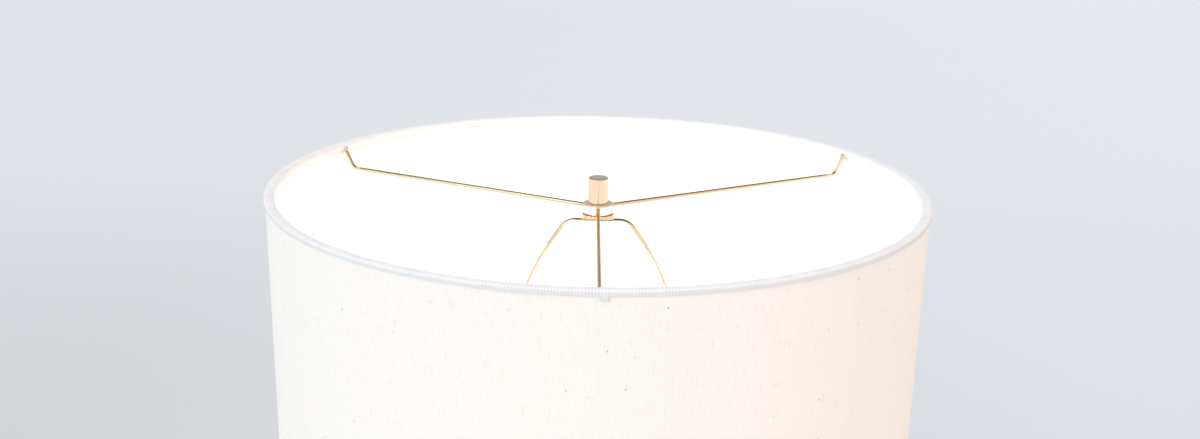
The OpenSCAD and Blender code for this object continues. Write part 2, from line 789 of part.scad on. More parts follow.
// Riveted through the eye and the clip's floor so that it turns, with a seat for the spider
module harp_stud() {
    pivot_from = clip_floor - rest_gap;
    neck_from = harp_wire_d / 2 + rest_gap;
    color("gold") translate([0, 0, harp_top_z]) {
        translate([0, 0, pivot_from - rivet_t]) cylinder(d = rivet_d, h = rivet_t);
        translate([0, 0, pivot_from]) cylinder(d = pivot_d, h = neck_from - pivot_from);
        translate([0, 0, neck_from]) cylinder(d = stud_neck_d, h = stud_stand - seat_t - neck_from);
        translate([0, 0, stud_stand - seat_t]) cylinder(d = seat_d, h = seat_t);
        translate([0, 0, stud_stand]) cylinder(d = stud_d, h = stud_thread_l);
    }
}

// ---------------------------------------------------------------- spider, shade and finial

module spider_washer() {
    color("gold") translate([0, 0, washer_z]) tube(washer_d, washer_hole_d, washer_t);
}

arm_end_l = arm_rise / sin(arm_end_slope); // from the corner, without its bend, to the end
arm_start = [arm_start_r, arm_z, 0];
arm_path = concat([arm_start], stations([
    ["run", arm_corner_r - arm_bend_take - arm_start_r],
    ["bend", arm_bend_axis_r, arm_end_slope],
    ["run", arm_end_l - arm_bend_take]
], arm_start));

arm_turns = [arm_turn_front, arm_turn_right, arm_turn_left];
module at_arm(i) rotate([0, 0, arm_turns[i]]) at_third(i) children();

module spider_arm(i) color("gold") at_arm(i) swept_wire(arm_wire_d, arm_path);

// Room for an arm's end where the top tape is folded round it
module arm_notch(i) {
    at_arm(i) translate([arm_corner_r, 0, arm_z]) rotate([0, 90 - arm_end_slope, 0])
        translate([0, 0, arm_bend_take])
            cylinder(d = arm_wire_d + 2 * glue_gap, h = arm_end_l - arm_bend_take + ring_wire_d / 2);
}

module edge_ring() {
    rotate_extrude() translate([ring_r, 0]) circle(d = ring_wire_d);
}

module shade_top_ring() color("gold") translate([0, 0, rim_z - ring_drop]) edge_ring();
module shade_bottom_ring() color("gold") translate([0, 0, shade_bottom_z + ring_drop]) edge_ring();

module shade_liner() {
    color("white") translate([0, 0, shade_bottom_z + tape_t + glue_gap])
        tube(2 * liner_r, 2 * (liner_r - liner_t), shade_h - 2 * (tape_t + glue_gap));
}

module shade_fabric() {
    color("linen") translate([0, 0, shade_bottom_z + tape_t + glue_gap])
        tube(shade_d, 2 * (shade_r - fabric_t), shade_h - 2 * (tape_t + glue_gap));
}

// Section of the tape: folded over the wall and the ring, and hanging down on both sides.
// The edge of the shade is at y = 0.
module tape_section() {
    wall_in = shade_r - wall_t - glue_gap;
    wall_out = shade_r + glue_gap;
    flap_in = wall_in - tape_t; // inner face of the flap that hangs down inside
    ring_hole_r = ring_wire_d / 2 + glue_gap;
    fold_end = 360 - acos((flap_in - ring_r) / ring_drop); // where the fold under the ring meets the flap
    polygon(concat(
        [[wall_out, -tape_outside_h], [wall_out + tape_t, -tape_outside_h]],
        arc(wall_out, -tape_t, tape_t, 0, 90, 4),
        arc(ring_r, -ring_drop, ring_drop, 90, fold_end, 16),
        [[flap_in, -tape_inside_h], [wall_in, -tape_inside_h], [wall_in, -ring_drop - ring_hole_r]],
        arc(ring_r, -ring_drop, ring_hole_r, 270, 90, 12),
        [[wall_out, ring_hole_r - ring_drop]]
    ));
}

module shade_top_tape() {
    color("whitesmoke") difference() {
        translate([0, 0, rim_z]) rotate_extrude() tape_section();
        for (i = [0:2]) arm_notch(i);
    }
}

module shade_bottom_tape() {
    color("whitesmoke") translate([0, 0, shade_bottom_z]) mirror([0, 0, 1])
        rotate_extrude() tape_section();
}

// A plain cylinder with a tapped hole. Its foot is rounded and its crown has a fine bevel.
finial_foot_r = 0.8;
finial_bevel = 0.35;
module finial() {
    hole_r = stud_d / 2 + slide_gap / 2;
    color("gold") translate([0, 0, finial_z]) rotate_extrude() polygon(concat(
        [[hole_r, 0]],
        arc(finial_d / 2 - finial_foot_r, finial_foot_r, finial_foot_r, -90, 0),
        [[finial_d / 2, finial_h - finial_bevel], [finial_d / 2 - finial_bevel, finial_h]],
        [[0, finial_h], [0, stud_thread_l - washer_t], [hole_r, stud_thread_l - washer_t]]
    ));
}

// ---------------------------------------------------------------- nodes

hub();
hub_top_plate();
hub_bottom_plate();
hub_plate_screws();
cord_bushing();
lamp_pipe();
pipe_nut();
pipe_lock_washer();
neck_tube();
check_ring();
harp_saddle();
for (i = [0:2]) leg(i);
leg_bolts();
leg_inserts();
leg_ferrules();
foot_pads();
socket_cap();
cap_set_screw();
socket_shell();
socket_card_liner();
socket_body();
socket_screw_shell();
socket_contact();
terminal_screws();
switch_shaft();
switch_knob();
bulb_contact();
bulb_insulator();
bulb_cap();
bulb_housing();
bulb_globe();
led_board();
harp_bow();
harp_clip();
harp_sleeve(-1);  // harp_sleeve_left
harp_sleeve(1);  // harp_sleeve_right
harp_stud();
spider_washer();
for (i = [0:2]) spider_arm(i);
shade_top_ring();
shade_bottom_ring();
shade_liner();
shade_fabric();
shade_top_tape();
shade_bottom_tape();
finial();
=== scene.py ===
# %% [markdown]
# # A table lamp with a linen drum shade, on three turned legs
#
# The construction of the lamp is already made and fixed: every shell, wire, screw and leg is a solid at
# its real size. This lesson gives those solids their finishes, adds the small pieces that only the eye
# needs, lights the lamp as a studio would, and switches its bulb on.
#
# Everything is in metres, with the table at z = 0 and the lamp's axis on x = y = 0. The front is -Y.

# %% Load the lamp's solids
import math

import bmesh
import bpy
from mathutils import Matrix, Vector


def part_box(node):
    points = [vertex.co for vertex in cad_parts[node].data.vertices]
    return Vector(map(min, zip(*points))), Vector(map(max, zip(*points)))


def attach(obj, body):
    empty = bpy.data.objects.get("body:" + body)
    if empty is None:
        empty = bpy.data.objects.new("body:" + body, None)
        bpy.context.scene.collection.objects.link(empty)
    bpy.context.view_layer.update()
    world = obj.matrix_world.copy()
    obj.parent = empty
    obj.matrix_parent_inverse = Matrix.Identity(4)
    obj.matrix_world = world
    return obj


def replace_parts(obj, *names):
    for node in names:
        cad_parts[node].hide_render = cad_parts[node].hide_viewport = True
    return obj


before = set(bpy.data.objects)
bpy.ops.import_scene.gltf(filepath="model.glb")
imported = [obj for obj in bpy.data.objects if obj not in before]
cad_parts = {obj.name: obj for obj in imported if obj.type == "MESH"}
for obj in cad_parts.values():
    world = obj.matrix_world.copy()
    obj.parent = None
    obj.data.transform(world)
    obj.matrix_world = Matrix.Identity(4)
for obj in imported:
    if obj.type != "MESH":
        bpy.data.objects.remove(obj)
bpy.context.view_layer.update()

# %% [markdown]
# ## Measure what the finishes need
#
# A weave has to follow the shade round, and wood grain has to run along each leg. Both need a few sizes
# of the lamp, and those are read from the solids, so that the finishes follow when a size changes.

# %% Sizes that are read from the solids
MM = 0.001
GLUE = 0.05  # mm between two layers of the shade
WIRE_R = 1.2  # mm, of the harp's wire and the spider's arms


def size_of(node):
    low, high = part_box(node)
    return high - low


def inner_radius(node):
    """How near to the lamp's axis a ring-shaped solid comes."""
    return min(v.co.xy.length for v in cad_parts[node].data.vertices)


shade_r = size_of("shade_fabric").x / 2
fabric_t = shade_r - inner_radius("shade_fabric")
liner_in = inner_radius("shade_liner")
rim_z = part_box("shade_top_tape")[1].z
print("shade radius", round(shade_r, 4), "rim", round(rim_z, 4), "linen", round(fabric_t, 4))

# %% [markdown]
# ## Camera
#
# The view is from just above the shade, looking down into it. The numbers were found by fitting a camera
# to the ellipse of the shade's top edge, so they are given against the shade's radius and the height of
# its rim.

# %% Place the camera
LENS = 37.0  # for a sensor 36 mm wide
CAMERA_RIGHT, CAMERA_BACK, CAMERA_UP = 0.007, 3.702, 0.968  # from the rim's centre, in shade radii
LOOK_DOWN = math.radians(16.45)
TILT = math.radians(1.18)  # the picture's right side hangs a little

camera = bpy.data.objects.new("camera", bpy.data.cameras.new("camera"))
bpy.context.collection.objects.link(camera)
camera.data.lens = LENS
camera.location = (CAMERA_RIGHT * shade_r, -CAMERA_BACK * shade_r, rim_z + CAMERA_UP * shade_r)
camera.rotation_mode = "QUATERNION"
aim = Matrix.Rotation(math.pi / 2 - LOOK_DOWN, 3, "X") @ Matrix.Rotation(TILT, 3, "Z")
camera.rotation_quaternion = aim.to_quaternion()
bpy.context.scene.camera = camera
bpy.context.scene.view_settings.view_transform = "Standard"
print("camera at", [round(v, 3) for v in camera.location])

# %% [markdown]
# ## Two helpers for materials
#
# Colours are easiest to read as the hex values of a paint program, but shaders want linear light, so one
# function turns one into the other. The other adds a node to a tree, sets it up and links it in one
# call.

# %% Helpers: colours and nodes


def linear(hex_colour):
    channels = [int(hex_colour[i : i + 2], 16) / 255 for i in (1, 3, 5)]
    return [c / 12.92 if c <= 0.04045 else ((c + 0.055) / 1.055) ** 2.4 for c in channels] + [1.0]


def add(tree, kind, inputs=(), **settings):
    """Adds a node. inputs holds (socket, value) pairs, and a value that is an output is linked."""
    made = tree.nodes.new(kind)
    for name, value in settings.items():
        setattr(made, name, value)
    for socket, value in inputs:
        if isinstance(value, bpy.types.NodeSocket):
            tree.links.new(value, made.inputs[socket])
        else:
            made.inputs[socket].default_value = value
    return made


def new_material(name, roughness, **constants):
    """A material with its tree and its Principled node. constants are set on the shader's own sockets."""
    material = bpy.data.materials.new(name)
    material.use_nodes = True
    tree = material.node_tree
    shader = tree.nodes["Principled BSDF"]
    shader.inputs["Roughness"].default_value = roughness
    for socket, value in constants.items():
        shader.inputs[socket.replace("_", " ")].default_value = value
    return material, tree, shader


def give(material, *nodes):
    for name in nodes:
        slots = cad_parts[name].data.materials
        slots.clear()
        slots.append(material)


print("the lightest thread of the linen is", [round(c, 3) for c in linear("#FCFCF9")])

# %% [markdown]
# ## A helper for shapes
#
# Everything that is modelled here is a section that travels: round the shade, or along a thread. So one
# function skins a row of sections. A row either closes on itself, as a ring does, or ends in two caps.

# %% Helper: skin a row of sections


def loft(name, sections, body, material, closed=False):
    """Makes one piece from equal loops of points, which rides on a body and takes a material."""
    shape = bmesh.new()
    rows = [[shape.verts.new(point) for point in section] for section in sections]
    for here, there in zip(rows, rows[1:] + rows[:1] if closed else rows[1:]):
        for i, j in zip(range(len(here)), [*range(1, len(here)), 0]):
            shape.faces.new((here[i], here[j], there[j], there[i]))
    if not closed:
        shape.faces.new(rows[0])
        shape.faces.new(rows[-1])
    bmesh.ops.recalc_face_normals(shape, faces=shape.faces)
    mesh = bpy.data.meshes.new(name)
    shape.to_mesh(mesh)
    shape.free()
    mesh.polygons.foreach_set("use_smooth", [True] * len(mesh.polygons))
    mesh.materials.append(material)
    piece = bpy.data.objects.new(name, mesh)
    bpy.context.collection.objects.link(piece)
    split = piece.modifiers.new("keep_edges", "EDGE_SPLIT")
    split.split_angle = SHARP
    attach(piece, body)
    return piece


SHARP = math.radians(32)  # faces that meet at more than this stay an edge
print("pieces keep edges over", round(math.degrees(SHARP)), "degrees")

# %% [markdown]
# ## Linen
#
# The cover is undyed linen in a plain weave, glued to a stiff backing. To the eye it is an off-white
# with fine crossed threads, a few thick places in the yarn called slubs, and here and there a brown
# fleck of the plant. The pattern has to run round a cylinder, so it is drawn on the angle round the axis
# and the height, both in millimetres. The real thread is about 0.6 mm apart, which is too fine for the
# picture, so it is drawn at twice that.

# %% Linen: coordinates round the shade
THREAD = 1.2  # mm from thread to thread, drawn twice as coarse as real
FRONT = -math.pi / 2


def round_the_axis(tree, radius):
    """Millimetres along the circumference (X) and up (Y), zero at the front."""
    place = add(tree, "ShaderNodeTexCoord").outputs["Object"]
    axes = add(tree, "ShaderNodeSeparateXYZ", [(0, place)]).outputs
    to_front = add(tree, "ShaderNodeMath", [(0, axes[1]), (1, -1.0)], operation="MULTIPLY").outputs[0]
    angle = add(tree, "ShaderNodeMath", [(0, axes[0]), (1, to_front)], operation="ARCTAN2").outputs[0]
    around = add(tree, "ShaderNodeMath", [(0, angle), (1, radius / MM)], operation="MULTIPLY").outputs[0]
    up = add(tree, "ShaderNodeMath", [(0, axes[2]), (1, 1 / MM)], operation="MULTIPLY").outputs[0]
    return add(tree, "ShaderNodeCombineXYZ", [(0, around), (1, up)]).outputs[0]


linen, tree, shader = new_material("undyed_linen_plain_weave", 0.92, Specular_IOR_Level=0.25)
cloth = round_the_axis(tree, shade_r)


def streaks(tree, place, across, along, detail=2.0):
    """Noise that is drawn out: across and along are the size of a streak in mm, in X and Y."""
    stretch = add(tree, "ShaderNodeMapping", [(0, place), (3, (1 / across, 1 / along, 1))])
    return add(tree, "ShaderNodeTexNoise", [(0, stretch.outputs[0]), (2, 1.0), (3, detail)]).outputs[0]


warp = streaks(tree, cloth, THREAD, 26)  # upright threads
weft = streaks(tree, cloth, 34, THREAD)  # level threads
print("linen thread drawn every", THREAD, "mm")

# %% [markdown]
# The weave itself is two sets of waves that cross. Their sum is high where two threads cross and low in
# the holes between them, which is all a bump needs. The long streaks of noise make single threads
# lighter or darker, but only by a hair: the cloth is close to white and lies tight.

# %% Linen: weave, slubs and flecks
BAND = math.tau / 20  # what a wave texture of scale 1 takes from band to band
across, upward = [add(tree, "ShaderNodeTexWave", [(0, cloth), (1, BAND / THREAD), (2, 1.2), (3, 1.0)],
                      bands_direction=way).outputs[0] for way in "XY"]
weave = add(tree, "ShaderNodeMath", [(0, across), (1, upward)], operation="ADD").outputs[0]
threads = add(tree, "ShaderNodeMath", [(0, warp), (1, weft)], operation="ADD").outputs[0]
# Thick places: only the highest part of the streaks
slub = add(tree, "ShaderNodeMapRange", [(0, streaks(tree, cloth, 1.4, 7)), (1, 0.58), (2, 0.74)]).outputs[0]
mottle = add(tree, "ShaderNodeTexNoise", [(0, cloth), (2, 1 / 1.6), (3, 2.0)]).outputs[0]
mottle = add(tree, "ShaderNodeMapRange", [(0, mottle), (1, 0.3), (2, 0.7)]).outputs[0]
shade_of_thread = add(tree, "ShaderNodeMapRange", [(0, threads), (1, 0.7), (2, 1.3)]).outputs[0]
base = add(tree, "ShaderNodeMix", [(0, shade_of_thread), (6, linear("#F6F6F2")), (7, linear("#FCFCF9"))],
           data_type="RGBA").outputs[2]
for amount, colour in ((mottle, "#FCF9F5"), (slub, "#F6F1EB")):
    base = add(tree, "ShaderNodeMix", [(0, amount), (6, base), (7, linear(colour))],
               data_type="RGBA").outputs[2]
# Flecks: each cell holds one short upright fleck, and only some cells show theirs
FLECK_CELL = 10.0  # mm
upright = add(tree, "ShaderNodeMapping", [(0, cloth), (3, (1, 0.5, 1))]).outputs[0]
cells = add(tree, "ShaderNodeTexVoronoi", [(0, upright), ("Scale", 1 / FLECK_CELL)], voronoi_dimensions="2D")
near = add(tree, "ShaderNodeMapRange", [(0, cells.outputs["Distance"]), (1, 0.04), (2, 0.015)]).outputs[0]
pick = add(tree, "ShaderNodeSeparateColor", [(0, cells.outputs["Color"])]).outputs
some = add(tree, "ShaderNodeMath", [(0, pick[0]), (1, 0.4)], operation="GREATER_THAN").outputs[0]
depth = add(tree, "ShaderNodeMath", [(0, pick[1]), (1, 4.0)], operation="POWER").outputs[0]
fleck = add(tree, "ShaderNodeMath", [(0, near), (1, some)], operation="MULTIPLY").outputs[0]
fleck = add(tree, "ShaderNodeMath", [(0, fleck), (1, depth)], operation="MULTIPLY").outputs[0]
base = add(tree, "ShaderNodeMix", [(0, fleck), (6, base), (7, linear("#8A6A52"))],
           data_type="RGBA").outputs[2]
tree.links.new(base, shader.inputs["Base Color"])
height = add(tree, "ShaderNodeMath", [(0, weave), (1, threads)], operation="ADD").outputs[0]
bump = add(tree, "ShaderNodeBump", [("Height", height), ("Strength", 0.2), ("Distance", 0.08 * MM)])
tree.links.new(bump.outputs[0], shader.inputs["Normal"])
print("linen has", len(tree.nodes), "nodes")

# %% [markdown]
# ## The linen cover, with its lap
#
# The cover is one strip, wrapped round the liner and glued. It starts and ends at the back, where the
# last of it lies over the first. Its end is turned under, so the strip is double there and stands out a
# little more.

# %% Wrap the cover
LAP = 14.0  # mm that the end lies over the start
HEM = 7.0  # mm that is turned under at the end
RAMP = 2.5  # mm over which the cloth rises
COVER_STEP = 5.0  # mm between sections, away from the lap
LAP_STEP = 0.25  # mm between sections at the lap
PRESSED = 0.7  # what the hem adds, as a share of the cloth's thickness


def rise(at, start):
    """From 0 before start to 1 once the ramp is over."""
    t = min(max((at - start) / RAMP, 0), 1)
    return t * t * (3 - 2 * t)


def wrapped_cover():
    low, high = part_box("shade_fabric")
    round_it = math.tau * shade_r / MM
    length = round_it + LAP
    steps = round(length / COVER_STEP)
    stops = {i * length / steps for i in range(steps + 1)}
    stops |= {round_it - RAMP + i * LAP_STEP for i in range(-2, round((LAP + RAMP) / LAP_STEP) + 3)}
    sections = []
    for at in sorted(stop for stop in stops if stop <= length):
        angle = -FRONT + at / round_it * math.tau
        over = rise(at, round_it - RAMP) * (fabric_t + GLUE * MM)
        double = rise(at, length - HEM - RAMP) * PRESSED * fabric_t
        way = Vector((math.cos(angle), math.sin(angle), 0))
        inside, outside = way * (shade_r - fabric_t + over), way * (shade_r + over + double)
        sections.append([inside + Vector((0, 0, low.z)), outside + Vector((0, 0, low.z)),
                         outside + Vector((0, 0, high.z)), inside + Vector((0, 0, high.z))])
    return loft("linen_cover", sections, "shade", linen), length * MM, high.z - low.z


cover, cover_length, cover_height = wrapped_cover()
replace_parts(cover, "shade_fabric")
print("linen cut to", round(cover_length, 4), "by", round(cover_height, 4), "m")

# %% [markdown]
# ## Edge tape and liner
#
# The shade's edge is bound with a white cotton tape, folded over the wire ring. It has fine ribs across
# it, which are upright where it hangs down the outside. It is opaque and a cooler white than the linen.
# The fold over the edge is painted a little paler than the part that hangs down the outside: painted light,
# as the fold faces up to the light. The liner is a matt white styrene sheet.

# %% Cotton tape
RIB_STEP = 1.6  # mm from rib to rib, as counted in the photograph
RIBS = round(math.tau * shade_r / (RIB_STEP * MM))
EDGE_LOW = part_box("shade_bottom_tape")[0].z / MM
LIT_FOLD_FROM, LIT_FOLD_FULL = 1.5, 0.7  # mm under the edge, where the fold's painted light starts and where it is full

tape, tree, shader = new_material("white_cotton_grosgrain_tape", 0.85, Specular_IOR_Level=0.3)
band = round_the_axis(tree, shade_r)
yarn = streaks(tree, band, 0.5, 3)
wear_and_shade_noise = streaks(tree, band, 9, 3)
yarn_colour = add(tree, "ShaderNodeMix", [(0, yarn), (6, linear("#E4E9EB")), (7, linear("#EBEFF1"))],
                  data_type="RGBA").outputs[2]
mottle_and_lit_fold = add(tree, "ShaderNodeMix", [(0, wear_and_shade_noise), (6, yarn_colour), (7, linear("#E6EBED"))],
              data_type="RGBA").outputs[2]
# Painted light: the fold is paler. A point's distance from the shade's middle tells the fold from the rest
around, tall = add(tree, "ShaderNodeSeparateXYZ", [(0, band)]).outputs[:2]
half_tall, middle = (rim_z / MM - EDGE_LOW) / 2, (rim_z / MM + EDGE_LOW) / 2
off_middle = add(tree, "ShaderNodeMath", [(0, tall), (1, middle)], operation="SUBTRACT").outputs[0]
off_middle = add(tree, "ShaderNodeMath", [(0, off_middle)], operation="ABSOLUTE").outputs[0]
lit_fold = add(tree, "ShaderNodeMapRange", [(0, off_middle), (1, half_tall - LIT_FOLD_FROM),
                                        (2, half_tall - LIT_FOLD_FULL)]).outputs[0]
mottle_and_lit_fold = add(tree, "ShaderNodeMix", [(0, lit_fold), (6, mottle_and_lit_fold), (7, linear("#F3F5FA"))],
              data_type="RGBA").outputs[2]
# Painted shade between two ribs, where less light gets down; the cosine is 1 just there
turn = add(tree, "ShaderNodeMath", [(0, around), (1, RIBS * MM / shade_r)], operation="MULTIPLY").outputs[0]
painted_groove_shade = add(tree, "ShaderNodeMath", [(0, turn)], operation="COSINE").outputs[0]
painted_groove_shade = add(tree, "ShaderNodeMapRange", [(0, painted_groove_shade), (1, -0.2), (2, 1.0)]).outputs[0]
# How dark the painted shade in the grooves is changes along the tape
groove_shade_depth = add(tree, "ShaderNodeMapRange", [(0, wear_and_shade_noise), (1, 0.35), (2, 0.7), (3, 0.2), (4, 1.0)]).outputs[0]
painted_groove_shade = add(tree, "ShaderNodeMath", [(0, painted_groove_shade), (1, groove_shade_depth)], operation="MULTIPLY").outputs[0]
ribbed = add(tree, "ShaderNodeMix", [(0, painted_groove_shade), (6, mottle_and_lit_fold), (7, linear("#DBE0E3"))],
             data_type="RGBA").outputs[2]
tree.links.new(ribbed, shader.inputs["Base Color"])
bump = add(tree, "ShaderNodeBump", [("Height", yarn), ("Strength", 0.3), ("Distance", 0.08 * MM)])
tree.links.new(bump.outputs[0], shader.inputs["Normal"])
print("tape material made")

# %% [markdown]
# The tape's ribs are real relief, so its edge shows them too. Its section goes up the outside, over the
# edge, round the ring and down the inside, and comes back on its hidden side. Every point on the outer
# side carries the way that it faces, so that a rib can push it out. Where an arm of the spider comes in,
# the fold is cut short.

# %% Fold the tape over both edges
TAPE_OUTSIDE = 3.0  # mm that hang down outside
RIB_HIGH = 0.16  # mm from groove to crest
NOTCH = 2.2  # mm to each side of an arm
NOTCH_END = 195  # degrees round the ring where a notched fold is cut
ARM_OUT, ARM_UP = 0.5, 0.866  # an arm's raised end climbs at 60 degrees


def way_round(angle):
    return Vector((math.cos(angle), math.sin(angle), 0))


def end_of_arm(node):
    """Centre of the arm's raised end: the points that lie furthest out and up."""
    points = [v.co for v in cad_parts[node].data.vertices]
    reach = [p.xy.length * ARM_OUT + p.z * ARM_UP for p in points]
    at_end = [p for p, r in zip(points, reach) if r > max(reach) - 0.05 * MM]
    return sum(at_end, Vector()) / len(at_end)


ARMS = ["spider_arm_front", "spider_arm_right", "spider_arm_left"]
arm_ends = [end_of_arm(node) for node in ARMS]


def on_circle(x, y, r, degrees):
    """A point on an arc with the way it faces: (x, depth, x of the way, depth of the way)."""
    c, s = math.cos(math.radians(degrees)), math.sin(math.radians(degrees))
    return (x + r * c, y - r * s, c, -s)


def between(first, last, count):
    return [first + (last - first) * i / (count - 1) for i in range(count)]


def tape_section(sizes, hang, notched):
    """The outer side, as (radius, depth, and the way it faces), and the hidden side, as (radius, depth).

    All is in mm. sizes are the tape's outside radius and thickness, the ring's radius and its depth under
    the edge, and the radius and depth of the flap inside."""
    out_r, t, ring_r, drop, flap_r, inside = sizes
    last = NOTCH_END if notched else 360 - math.degrees(math.acos((flap_r - ring_r) / drop))
    hole = drop - t + GLUE  # round the wire
    side_r = out_r - t
    outer = [(out_r, hang, 1, 0), (out_r, hang * 0.5, 1, 0)]
    outer += [on_circle(side_r, t, t, a) for a in between(0, 90, 4)]
    outer += [((side_r + ring_r) / 2, 0.12, 0, -1)]
    outer += [on_circle(ring_r, drop, drop, a) for a in between(90, last, 9)]
    if notched:
        tip = [on_circle(ring_r, drop, r, last + past)[:2]
               for r, past in ((drop - 0.25, 3), (hole + 0.2, 3), (hole + 0.05, 1))]  # a rounded cut
    else:
        tip = [(flap_r, inside), (flap_r + t, inside), (flap_r + t, drop + hole)]
    start = last if notched else 270
    hidden = tip + [on_circle(ring_r, drop, hole, a)[:2] for a in between(start, 90, 6)]
    hidden += [(side_r, drop - hole), (side_r, hang)]
    return outer, hidden


def folded_tape(name, node, ring, up, arms):
    """up is 1 on the shade's upper edge and -1 on its lower edge."""
    low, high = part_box(node)
    ring_low, ring_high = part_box(ring)
    edge_z = high.z if up > 0 else low.z
    ring_z = (ring_low.z + ring_high.z) / 2
    wire_r = (ring_high.z - ring_low.z) / 2
    out_r = (high.x - low.x) / 2
    t = (out_r - shade_r) / MM - GLUE
    sizes = (out_r / MM, t, ((ring_high.x - ring_low.x) / 2 - wire_r) / MM, abs(edge_z - ring_z) / MM,
             liner_in / MM - GLUE - t, (high.z - low.z) / MM)
    sections, wide = [], 0
    for i in range(2 * RIBS):
        angle = FRONT + i / RIBS * math.pi
        # Folded by hand, it hangs a little unevenly, and lower on the right
        wobble = 0.12 * math.sin(7 * angle + up) + 0.08 * math.sin(31 * angle) + 0.35 * math.cos(angle)
        way = way_round(angle)
        notched = any((way * out_r - Vector((*(end.xy * (out_r / end.xy.length)), 0))).length < NOTCH * MM
                      for end in arms)
        outer, hidden = tape_section(sizes, TAPE_OUTSIDE + wobble, notched)
        rib = RIB_HIGH / 2 * (1 if i % 2 else -1)
        flat = [(r + x * rib, d + y * rib) for r, d, x, y in outer] + hidden
        if i == RIBS // 3:  # away from every notch
            wide = sum(math.dist(a, b) for a, b in zip(flat[: len(outer) + 1], flat[1:]))
        sections.append([way * (r * MM) + Vector((0, 0, edge_z - up * d * MM)) for r, d in flat])
    made = loft(name, sections, "shade", tape, closed=True)
    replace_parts(made, node)
    return sizes


top_sizes = folded_tape("top_tape", "shade_top_tape", "shade_top_ring", 1, arm_ends)
folded_tape("bottom_tape", "shade_bottom_tape", "shade_bottom_ring", -1, [])
print("two tapes with", RIBS, "ribs each")

# %% [markdown]
# The tape's end lies over its start at the front, and hangs down a little more than the rest, as a strip
# that was folded over by hand does.

# %% The tape's end
TAB_WIDE = 3.8  # mm round the shade
TAB_HANG = 2.4  # mm below the tape's edge
TAB_AT = FRONT + 4.4 * MM / shade_r
TAB_THICK, TAB_EDGE = 0.12, 0.02  # mm over the ribs, in its middle and at its two edges


def tape_end():
    sections = []
    outer, _ = tape_section(top_sizes, TAPE_OUTSIDE + TAB_HANG, True)
    for across in (-0.5, -0.42, -0.2, 0, 0.2, 0.42, 0.5):
        way = way_round(TAB_AT + across * TAB_WIDE / top_sizes[0])
        over = RIB_HIGH / 2 + (TAB_EDGE if abs(across) == 0.5 else TAB_THICK)
        skin = [(r + x * over, d + y * over) for r, d, x, y in outer]
        under = [(r - x * 0.2, d - y * 0.2) for r, d, x, y in reversed(outer)]
        sections.append([way * (r * MM) + Vector((0, 0, rim_z - d * MM)) for r, d in skin + under])
    return loft("top_tape_end", sections, "shade", tape)


tape_end()
print("tape end, hanging", TAB_HANG, "mm lower")

# %% Styrene
styrene, tree, shader = new_material("matt_white_styrene", 0.6)
haze = streaks(tree, round_the_axis(tree, shade_r), 60, 40)
colour = add(tree, "ShaderNodeMix", [(0, haze), (6, linear("#F5F4F2")), (7, linear("#FBFBFA"))],
             data_type="RGBA")
tree.links.new(colour.outputs[2], shader.inputs["Base Color"])
give(styrene, "shade_liner")
print("matt white liner")

# %% [markdown]
# ## Brass
#
# The finial and the neck are turned brass, polished and lacquered. A metal's colour is what it reflects,
# so it gets no other detail than the lathe's faint rings, which spread a highlight sideways. The wires
# are brass-plated steel, drawn and not turned. Pressed pieces are satin and a little uneven, and the
# washer is duller still: it was tumbled with others in a drum to take off its burr. A thin round wire
# shows mostly its rims, and brass mirrors less there than white light would suggest, so each finish has
# a tint for what it mirrors edge-on.

# %% Four finishes of brass


def brass(name, colour, roughness, uneven, pattern_mm, bump_mm, rim="#FFFFFF", bare=1.0):
    """A metal whose roughness varies between roughness and roughness + uneven.

    rim tints what it mirrors edge-on, and bare is the share of its face that dullness has left to mirror."""
    material, tree, shader = new_material(name, roughness, Metallic=bare, Specular_Tint=linear(rim))
    place = add(tree, "ShaderNodeTexCoord").outputs["Object"]
    scale = [1 / (size * MM) for size in pattern_mm]
    grain = add(tree, "ShaderNodeMapping", [(0, place), (3, scale)]).outputs[0]
    lines = add(tree, "ShaderNodeTexNoise", [(0, grain), (2, 1.0), (3, 3.0)]).outputs[0]
    tint = add(tree, "ShaderNodeMix", [(0, lines), (6, linear(colour[0])), (7, linear(colour[1]))],
               data_type="RGBA")
    tree.links.new(tint.outputs[2], shader.inputs["Base Color"])
    rough = add(tree, "ShaderNodeMapRange", [(0, lines), (1, 0.3), (2, 0.7), (3, roughness),
                                             (4, roughness + uneven)])
    tree.links.new(rough.outputs[0], shader.inputs["Roughness"])
    bump = add(tree, "ShaderNodeBump", [("Height", lines), ("Strength", 0.3), ("Distance", bump_mm * MM)])
    tree.links.new(bump.outputs[0], shader.inputs["Normal"])
    return material


turned_brass = brass("turned_polished_brass", ("#F0D1B8", "#F4D8C0"), 0.12, 0.08, (40, 40, 0.25), 0.01,
                     rim="#FFF6EA")
drawn_brass = brass("bright_brass_plated_wire", ("#E4CFA8", "#ECD9B6"), 0.14, 0.08, (6, 6, 6), 0.01,
                    rim="#EAD7CE")
stamped_brass = brass("tumbled_stamped_brass", ("#F0E0C6", "#F6E9D4"), 0.34, 0.1, (3, 3, 3), 0.02,
                      rim="#FFF8F0", bare=0.5)
pressed_brass = brass("satin_pressed_brass", ("#E6CAA0", "#F0D8B2"), 0.22, 0.12, (5, 5, 5), 0.02,
                      rim="#FFF4E6")
give(turned_brass, "finial", "neck_tube", "check_ring", "hub_top_plate", "leg_ferrules")
give(drawn_brass, "spider_arm_front", "spider_arm_right", "spider_arm_left", "harp_bow", "shade_top_ring",
     "shade_bottom_ring")
give(pressed_brass, "harp_saddle", "harp_sleeve_left", "harp_sleeve_right", "hub_bottom_plate",
     "socket_cap", "socket_shell", "socket_contact", "terminal_screws", "switch_shaft", "leg_inserts")
print("four brass finishes")

# %% [markdown]
# ## Oak
#
# The hub and legs are turned from light oak and finished with a satin lacquer. Grain runs along a leg,
# so each leg needs the direction of its own axis. That is found from the leg's box: the ferrule end
# stands out, and the hub end is near the lamp's axis.

# %% Oak: grain along a direction
RING_STEP = 3  # mm from one growth ring to the next


